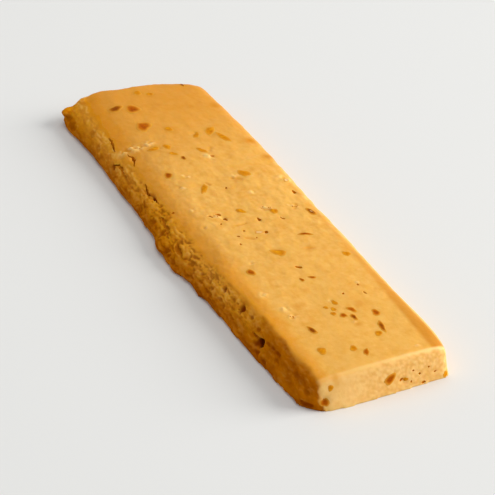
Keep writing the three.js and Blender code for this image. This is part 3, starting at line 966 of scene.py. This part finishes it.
# %% Map the oil and the dry places
STRIP_X = (-30, 20, 60, 95)
STRIP_FROM_Y = (23.4, 22.6, 21.8, 20.5)
STRIP_TO_Y = (24.0, 24.2, 24.9, 25.6)
STRIP_SHARE = (0.0, 0.4, 0.8, 1.0)
STRIP_SOFT = 0.9
# The far end of the top is painted deeper and darker: painted shade, which also stands in for the weaker
# sheen there.
FAR_SHADE_X = (10, 90)
FAR_SHADE_SHARE = 0.8
SHOULDER_X = (-80, -50, -20, 20, 60, 95)
SHOULDER_REACH = (8, 9, 9, 9, 6, 3.5)
SHOULDER_SHARE = (0.7, 0.65, 0.65, 0.75, 0.65, 0.5)
SHOULDER_FROM = 0.2
PALE_EDGE_Y = (24.6, 26.3)
PALE_EDGE_X = (-40, 30)
PALE_EDGE_Z = (5.5, 8.5)
# Painted shade at the foot of the torn side, and a deeper paste with painted shade towards the cut end
DEEP_SHADE_UP = (2.0, 7.5)
DEEP_SHADE_NEAR_X = (40, 75)
# A painted highlight on the raised lumps of the torn side, strongest in a band under the crest
HIGHLIGHT_BAND = (1.0, 6.0)
HIGHLIGHT_X = (-80, -40, -15, 5, 25, 65)
HIGHLIGHT_SHARE = (0.9, 0.8, 0.2, 0.7, 1.0, 0.0)
HIGHLIGHT_LEAST = 0.12
HIGHLIGHT_BASE = 0.3


def strip_mask(points):
    """A darker strip along the smooth edge, which widens towards the cut end: partly a deeper paste, partly
    painted shade for the fold and for the sheen the strip does not catch.
    """
    measures = (STRIP_FROM_Y, STRIP_TO_Y, STRIP_SHARE)
    inner, outer, share = [along_bar(points, STRIP_X, measure) for measure in measures]
    inside = ramp(points[:, 1] - inner, -STRIP_SOFT, STRIP_SOFT)
    return share * inside * (1 - ramp(points[:, 1] - outer, -STRIP_SOFT, STRIP_SOFT))


def edge_mask(points):
    """Painted highlight: the rounded upper edge of the smooth side is painted pale towards the cut end,
    where it catches the light.
    """
    x, y, z = points.T
    return ramp(x, *PALE_EDGE_X) * ramp(y, *PALE_EDGE_Y) * ramp(z, *PALE_EDGE_Z)


def shoulder_mask(points):
    """The skin along the shoulder towards the torn side is painted a deeper gold: partly its own colour,
    partly painted shade where the shoulder rounds away from the light.
    """
    reach = along_bar(points, SHOULDER_X, SHOULDER_REACH)
    return along_bar(points, SHOULDER_X, SHOULDER_SHARE) * (1 - ramp(-crest_gap, SHOULDER_FROM, reach))


def deep_and_shade_mask(points):
    """Darker paint at the foot of the torn side and, towards the cut end, over the whole of it: painted
    shade at the foot, and towards the cut end a deeper paste with painted shade.
    """
    foot = 1 - ramp(points[:, 2], *DEEP_SHADE_UP)
    near = ramp(points[:, 0], *DEEP_SHADE_NEAR_X)
    return np.maximum(foot, near)


def lump_highlight_mask(points):
    """Painted highlight on the raised lumps, strongest close under the crest and away from the cut end, with
    a faint pale band under the crest.
    """
    band = (1 - ramp(crest_gap, *HIGHLIGHT_BAND)) * along_bar(points, HIGHLIGHT_X, HIGHLIGHT_SHARE)
    lumps = ridge * (HIGHLIGHT_LEAST + (1 - HIGHLIGHT_LEAST) * band)
    return np.maximum(lumps, HIGHLIGHT_BASE * band * masks["torn"])


# Painted shade towards the far end of the top
masks["far_shade"] = FAR_SHADE_SHARE * ramp(-unmoved_points[:, 0], *FAR_SHADE_X)
masks["shoulder"] = shoulder_mask(unmoved_points)
masks["edge"] = edge_mask(unmoved_points) * moulded
masks["strip"] = strip_mask(unmoved_points) * moulded
masks["deep_and_shade"] = deep_and_shade_mask(unmoved_points)
masks["lump_highlight"] = lump_highlight_mask(unmoved_points)
masks["crease"] = crease
masks["scuff"] = scuffed
print("masks:", list(masks))

# %% Store the masks


def nearest_rows(old_points, new_points):
    """For each new point, the number of the nearest old one."""
    tree = KDTree(len(old_points))
    for number, point in enumerate(old_points.tolist()):
        tree.insert(point, number)
    tree.balance()
    return np.array([tree.find(point)[1] for point in new_points.tolist()])


def store(mesh, name, values):
    attribute = mesh.attributes.new(name, "FLOAT", "POINT")
    attribute.data.foreach_set("value", values.astype(np.float32))


body_points, _ = mesh_arrays(body_mesh)
rows = nearest_rows(fine_points, body_points)
for mask_name, mask in masks.items():
    store(body_mesh, mask_name, mask[rows])
print("points with masks:", len(rows))

# %% [markdown]
# ## Shared finishes
# Nougat skin, torn paste and almonds all have cloudy colour and a fine grain, only at other sizes. The nodes
# could be repeated in each of their materials. Instead, each effect is one node group with named sockets,
# placed in each material with its own values, so that a change to the group reaches all of them. The groups
# give plain numbers over the surface, and the shader itself stays in each material.

# %% Helpers for node groups


def effect_group(name, inputs, outputs):
    group = bpy.data.node_groups.new(name, "ShaderNodeTree")
    for label, value in inputs.items():
        socket = group.interface.new_socket(label, in_out="INPUT", socket_type="NodeSocketFloat")
        socket.default_value = value
    for label in outputs:
        group.interface.new_socket(label, in_out="OUTPUT", socket_type="NodeSocketFloat")
    return group, group.nodes.new("NodeGroupInput"), group.nodes.new("NodeGroupOutput")


def object_noise(group, detail):
    """A noise texture on the piece's own coordinates."""
    place = group.nodes.new("ShaderNodeTexCoord")
    texture = group.nodes.new("ShaderNodeTexNoise")
    texture.inputs["Detail"].default_value = detail
    group.links.new(place.outputs["Object"], texture.inputs["Vector"])
    return texture


def squeeze_along(group, share, texture):
    """Multiplies the length of the bar by the share, which draws the noise out into fibres."""
    place = texture.inputs["Vector"].links[0].from_socket
    factors = group.nodes.new("ShaderNodeCombineXYZ")
    factors.inputs["Y"].default_value = 1.0
    factors.inputs["Z"].default_value = 1.0
    squeezed = group.nodes.new("ShaderNodeVectorMath")
    squeezed.operation = "MULTIPLY"
    group.links.new(share, factors.inputs["X"])
    group.links.new(place, squeezed.inputs[0])
    group.links.new(factors.outputs[0], squeezed.inputs[1])
    group.links.new(squeezed.outputs[0], texture.inputs["Vector"])


# %% Build the groups
CLOUD_DETAIL = 3.0
GRAIN_DETAIL = 5.0
NOISE_MIDDLE = 0.5


def cloud_group():
    """Soft patches from 0 to 1, a share of the way between two colours or two roughnesses."""
    given_values = {"Scale": 100.0, "Contrast": 2.0, "Squeeze": 1.0}
    group, given, made = effect_group("Oily clouds", given_values, ["Cloud"])
    texture = object_noise(group, CLOUD_DETAIL)
    group.links.new(given.outputs["Scale"], texture.inputs["Scale"])
    squeeze_along(group, given.outputs["Squeeze"], texture)
    centred = group.nodes.new("ShaderNodeMath")
    centred.operation = "SUBTRACT"
    centred.inputs[1].default_value = NOISE_MIDDLE
    stretched = group.nodes.new("ShaderNodeMath")
    stretched.operation = "MULTIPLY_ADD"
    stretched.use_clamp = True
    stretched.inputs[2].default_value = NOISE_MIDDLE
    group.links.new(texture.outputs["Fac"], centred.inputs[0])
    group.links.new(centred.outputs[0], stretched.inputs[0])
    group.links.new(given.outputs["Contrast"], stretched.inputs[1])
    group.links.new(stretched.outputs[0], made.inputs["Cloud"])
    return group


def grain_group():
    """A fine almond-meal grain, as a height for a bump."""
    group, given, made = effect_group("Almond meal grain", {"Scale": 1500.0}, ["Height"])
    texture = object_noise(group, GRAIN_DETAIL)
    group.links.new(given.outputs["Scale"], texture.inputs["Scale"])
    group.links.new(texture.outputs["Fac"], made.inputs["Height"])
    return group


clouds = cloud_group()
meal_grain = grain_group()
print("node groups:", [group.name for group in bpy.data.node_groups])

# %% Helpers for materials


def paste_shader(name, looks):
    """A material with the settings of its shader that are the same all over the piece."""
    material = bpy.data.materials.new(name)
    material.use_nodes = True
    shader = material.node_tree.nodes["Principled BSDF"]
    for socket, value in looks.items():
        shader.inputs[socket].default_value = value
    return material, material.node_tree, shader


def placed(tree, group, **values):
    node = tree.nodes.new("ShaderNodeGroup")
    node.node_tree = group
    for socket, value in values.items():
        node.inputs[socket].default_value = value
    return node.outputs[0]


def stored(tree, name):
    node = tree.nodes.new("ShaderNodeAttribute")
    node.attribute_name = name
    return node.outputs["Fac"]


def blended(tree, share, first, second):
    """From first to second by share. Each is a colour, a number or the output of another node."""
    is_colour = not any(isinstance(part, float) for part in (first, second))
    node = tree.nodes.new("ShaderNodeMix")
    node.data_type = "RGBA" if is_colour else "FLOAT"
    sockets = [socket for socket in node.inputs if socket.enabled]
    result = next(socket for socket in node.outputs if socket.enabled)
    tree.links.new(share, sockets[0])
    for socket, part in zip(sockets[1:], (first, second)):
        if isinstance(part, bpy.types.NodeSocket):
            tree.links.new(part, socket)
        else:
            socket.default_value = part
    return result


def tinted(tree, start, tints):
    """The start, blended towards each tint in turn by the mask of that name."""
    for mask_name, tint in tints.items():
        start = blended(tree, stored(tree, mask_name), start, tint)
    return start


def bumped(tree, shader, scale, strength, depth):
    """Almond meal of that scale roughens the surface."""
    bump = tree.nodes.new("ShaderNodeBump")
    bump.inputs["Strength"].default_value = strength
    bump.inputs["Distance"].default_value = depth
    tree.links.new(placed(tree, meal_grain, Scale=scale), bump.inputs["Height"])
    tree.links.new(bump.outputs["Normal"], shader.inputs["Normal"])


def dress(tree, shader, paint, roughness, grain_bump):
    tree.links.new(paint, shader.inputs["Base Color"])
    tree.links.new(roughness, shader.inputs["Roughness"])
    bumped(tree, shader, **grain_bump)


def colour(red, green, blue):
    return (red, green, blue, 1.0)


# %% [markdown]
# ## Nougat skin
# Light goes a few millimetres into almond paste and comes out warmer, so the shader has subsurface
# scattering. Its oil gives the moulded top a satin sheen, while torn and cut paste is dry and dull. The
# masks blend the colours, because the change from one to the other is gradual. A specular level has to be
# one number for a whole material, so the same nodes are built three times, for the skin, the shoulder and
# the torn side, each with less sheen. The walls of pits and cracks have a plainer finish of their own.

# %% Choose the colours of the nougat
SKIN_DEEP = colour(0.81, 0.360, 0.036)
SKIN_PALE = colour(0.87, 0.440, 0.070)
SKIN_SPECK = colour(0.90, 0.480, 0.098)
SKIN_TINTS = {
    # Painted shade towards the far end
    "far_shade": colour(0.72, 0.272, 0.008),
    # Partly painted shade where the shoulder rounds away from the light
    "shoulder": colour(0.83, 0.292, 0.005),
    # Partly painted shade for the fold and the missing sheen along the smooth edge
    "strip": colour(0.68, 0.260, 0.012),
    # Painted highlight on the rounded upper edge of the smooth side
    "edge": colour(0.90, 0.570, 0.165),
}
TORN_DEEP = colour(0.66, 0.200, 0.002)
TORN_PALE = colour(0.86, 0.345, 0.007)
CUT_DEEP = colour(0.88, 0.480, 0.125)
CUT_PALE = colour(0.98, 0.610, 0.215)
# Painted shade at the foot of the torn side and towards the cut end
DEEP_SHADE_DARK = colour(0.36, 0.084, 0.0003)
DEEP_SHADE_LIGHT = colour(0.58, 0.168, 0.0008)
TINTS = {
    # Painted highlight along the rim over the cut end
    "rim": colour(0.97, 0.640, 0.230),
    "meal": colour(0.83, 0.425, 0.100),
    # Painted highlight on the raised lumps of the torn side
    "lump_highlight": colour(0.95, 0.480, 0.090),
    # Painted shade in the creases and hollows
    "crease": colour(0.25, 0.042, 0.0002),
    "scuff": colour(0.98, 0.600, 0.190),
    "stain": colour(0.68, 0.245, 0.0005),
}
DULLNESS = {"torn": 0.78, "cut": 0.62, "scuff": 0.70}
SKIN_ROUGHNESS = (0.36, 0.46)
PASTE_LOOKS = {
    "Subsurface Weight": 0.25,
    "Subsurface Radius": (1.0, 0.42, 0.12),
    "Subsurface Scale": 2.5 * MM,
    "IOR": 1.45,
    "Specular IOR Level": 0.2,
}
SHOULDER_LOOKS = PASTE_LOOKS | {"Specular IOR Level": 0.1}
TORN_LOOKS = PASTE_LOOKS | {"Specular IOR Level": 0.0}
WALL_DEEP = colour(0.48, 0.120, 0.002)
WALL_PALE = colour(0.68, 0.230, 0.010)
WALL_ROUGHNESS = (0.6, 0.8)
print("nougat tints:", list(SKIN_TINTS | TINTS))

# %% Mix the nougat
BROAD_CLOUDS = {"Scale": 85.0, "Contrast": 2.2}
SPECK_CLOUDS = {"Scale": 420.0, "Contrast": 2.4}
CUT_CLOUDS = {"Scale": 520.0, "Contrast": 1.8}
WALL_CLOUDS = {"Scale": 700.0, "Contrast": 2.4}
TORN_FIBRES = {"Scale": 760.0, "Contrast": 3.0, "Squeeze": 0.4}
DEEP_SHADE_STREAKS = {"Scale": 380.0, "Contrast": 2.4, "Squeeze": 0.5}
SKIN_BUMP = {"scale": 1300.0, "strength": 0.35, "depth": 0.15 * MM}
WALL_BUMP = {"scale": 1600.0, "strength": 0.4, "depth": 0.12 * MM}


def skin_paint(tree, broad):
    paint = blended(tree, broad, SKIN_DEEP, SKIN_PALE)
    paint = blended(tree, placed(tree, clouds, **SPECK_CLOUDS), paint, SKIN_SPECK)
    return tinted(tree, paint, SKIN_TINTS)


def torn_paint(tree):
    paint = blended(tree, placed(tree, clouds, **TORN_FIBRES), TORN_DEEP, TORN_PALE)
    # The foot and the cut-end part of the torn side get painted shade
    deep_shade_paint = blended(tree, placed(tree, clouds, **DEEP_SHADE_STREAKS), DEEP_SHADE_DARK, DEEP_SHADE_LIGHT)
    return blended(tree, stored(tree, "deep_and_shade"), paint, deep_shade_paint)


def nougat_material(name, looks):
    material, tree, shader = paste_shader(name, looks)
    broad = placed(tree, clouds, **BROAD_CLOUDS)
    paint = blended(tree, stored(tree, "torn"), skin_paint(tree, broad), torn_paint(tree))
    cut_paint = blended(tree, placed(tree, clouds, **CUT_CLOUDS), CUT_DEEP, CUT_PALE)
    paint = blended(tree, stored(tree, "cut"), paint, cut_paint)
    roughness = tinted(tree, blended(tree, broad, *SKIN_ROUGHNESS), DULLNESS)
    dress(tree, shader, tinted(tree, paint, TINTS), roughness, SKIN_BUMP)
    return material


def wall_material():
    """Paste inside the pits and cracks, which has no skin. Its darker colour is partly bits of almond skin
    and partly painted shade in the recess, and the creases and hollows add more painted shade.
    """
    material, tree, shader = paste_shader("nougat_pit_wall", TORN_LOOKS)
    patch = placed(tree, clouds, **WALL_CLOUDS)
    paint = blended(tree, patch, WALL_DEEP, WALL_PALE)
    paint = tinted(tree, paint, {"crease": TINTS["crease"]})
    dress(tree, shader, paint, blended(tree, patch, *WALL_ROUGHNESS), WALL_BUMP)
    return material


skin_finish = nougat_material("nougat_skin", PASTE_LOOKS)
shoulder_finish = nougat_material("nougat_shoulder", SHOULDER_LOOKS)
torn_finish = nougat_material("nougat_torn", TORN_LOOKS)
wall_finish = wall_material()
print("nougat nodes:", len(skin_finish.node_tree.nodes))

# %% Show the bar
# Where the shoulder and the torn side begin, in millimetres out from the crest
FINISH_STEPS = (-4.5, -0.8)
WALL_MARK = 3


def smooth_piece(name, mesh, materials):
    mesh.name = name
    mesh.materials.clear()
    for material in materials:
        mesh.materials.append(material)
    mesh.shade_smooth()
    piece = show(bpy.data.objects.new(name, mesh))
    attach(piece, "root")
    return piece


def finish_marks(mesh, walls, gaps):
    """The number of each face's finish: skin, shoulder, torn side, or wall of a pit or crack."""
    steps = np.searchsorted(FINISH_STEPS, gaps)
    return [WALL_MARK if wall else int(steps[face.vertices[0]]) for face, wall in zip(mesh.polygons, walls)]


bar_finishes = [skin_finish, shoulder_finish, torn_finish, wall_finish]
bar = smooth_piece("nougat_paste", body_mesh, bar_finishes)
marks = finish_marks(body_mesh, walls, crest_gap[rows])
body_mesh.polygons.foreach_set("material_index", marks)
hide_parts("nougat_bar")
body_mesh.calc_loop_triangles()
print("bar triangles:", len(body_mesh.loop_triangles))

# %% [markdown]
# ## Almonds in the skin
# A bit is a small stone with a flat face: rings of points with an uneven outline, standing only a few
# hundredths of a millimetre proud, because the tray pressed it flush. Each kind is one joined piece with
# its own finish, mottled between a dark and a light colour. Amber oil oozes from the edge of a bit and paste
# smears over it, so its rings also carry two numbers that blend its colour into the skin round it.

# %% Mix the almond finishes
ALMOND_KINDS = {
    "amber": (colour(0.56, 0.165, 0.001), colour(0.84, 0.345, 0.004)),
    "toasted": (colour(0.34, 0.060, 0.0003), colour(0.52, 0.118, 0.0005)),
    "skin": (colour(0.21, 0.042, 0.0003), colour(0.38, 0.092, 0.001)),
    "pale": (colour(0.84, 0.500, 0.180), colour(0.90, 0.640, 0.340)),
}
ALMOND_LOOKS = {
    "Subsurface Weight": 0.2,
    "Subsurface Radius": (1.0, 0.4, 0.1),
    "Subsurface Scale": 1.2 * MM,
    "IOR": 1.45,
    "Specular IOR Level": 0.03,
}
ALMOND_TINTS = {"oozed": colour(0.66, 0.205, 0.001), "smeared": colour(0.80, 0.355, 0.040)}
ALMOND_CLOUDS = {"Scale": 650.0, "Contrast": 3.0}
ALMOND_ROUGHNESS = (0.42, 0.6)
ALMOND_BUMP = {"scale": 2200.0, "strength": 0.3, "depth": 0.1 * MM}


def almond_material(kind):
    dark, light = ALMOND_KINDS[kind]
    material, tree, shader = paste_shader(f"almond_{kind}", ALMOND_LOOKS)
    patch = placed(tree, clouds, **ALMOND_CLOUDS)
    paint = tinted(tree, blended(tree, patch, dark, light), ALMOND_TINTS)
    dress(tree, shader, paint, blended(tree, patch, *ALMOND_ROUGHNESS), ALMOND_BUMP)
    return material


almond_finish = {kind: almond_material(kind) for kind in ALMOND_KINDS}
print("almond finishes:", list(almond_finish))

# %% Press the bits in
BIT_SIDES = 20
BIT_UNEVEN = 0.3
BIT_THICKNESS = 1.0
BIT_RINGS = (
    (0.0, -1.0), (1.0, -0.9), (1.45, -0.03), (1.25, 0.03),
    (1.0, 0.05), (0.75, 0.06), (0.4, 0.06), (0.0, 0.06),
)
BIT_SMEARED = (1.0, 1.0, 1.0, 0.85, 0.4, 0.05, 0.0, 0.0)
BIT_OOZED = (0.0, 0.0, 0.0, 0.6, 0.7, 0.3, 0.0, 0.0)
BIT_SEED = 34
LAY_FROM = 3 * MM


def laid(point, normal, level):
    """The point moved along the normal to that height over the skin, in millimetres."""
    place, _, _, _ = uncut_tree.ray_cast(point + normal * LAY_FROM, -normal)
    return place + normal * (level * MM) if place else point


def bit_shapes(lots, rng):
    for bits, direction in lots:
        for first, second, length, width, turn in bits:
            place, normal = on_skin(uncut_tree, (first, second), direction)
            size = (length, width, BIT_THICKNESS, turn)
            yield ringed_lump(place, normal, size, BIT_RINGS, BIT_SIDES, BIT_UNEVEN, rng, laid)


def press_bits(kind, lots, rng):
    mesh = joined_mesh(f"almond_{kind}_bits", bit_shapes(lots, rng))
    ring_points = [1 if share == 0 else BIT_SIDES for share, _ in BIT_RINGS]
    for name, ring_values in (("oozed", BIT_OOZED), ("smeared", BIT_SMEARED)):
        one_bit = np.repeat(ring_values, ring_points)
        store(mesh, name, np.resize(one_bit, len(mesh.vertices)))
    piece = smooth_piece(f"almond_{kind}_bits", mesh, [almond_finish[kind]])
    print(piece.name, len(mesh.polygons), "faces")


bit_rng = np.random.default_rng(BIT_SEED)
press_bits("amber", [(AMBER_BITS, DOWN), (CUT_AMBER_BITS, INTO_CUT)], bit_rng)
press_bits("toasted", [(TOASTED_BITS, DOWN), (CUT_TOASTED_BITS, INTO_CUT)], bit_rng)
press_bits("skin", [(SKIN_BITS, DOWN)], bit_rng)
press_bits("pale", [(PALE_BITS, DOWN)], bit_rng)
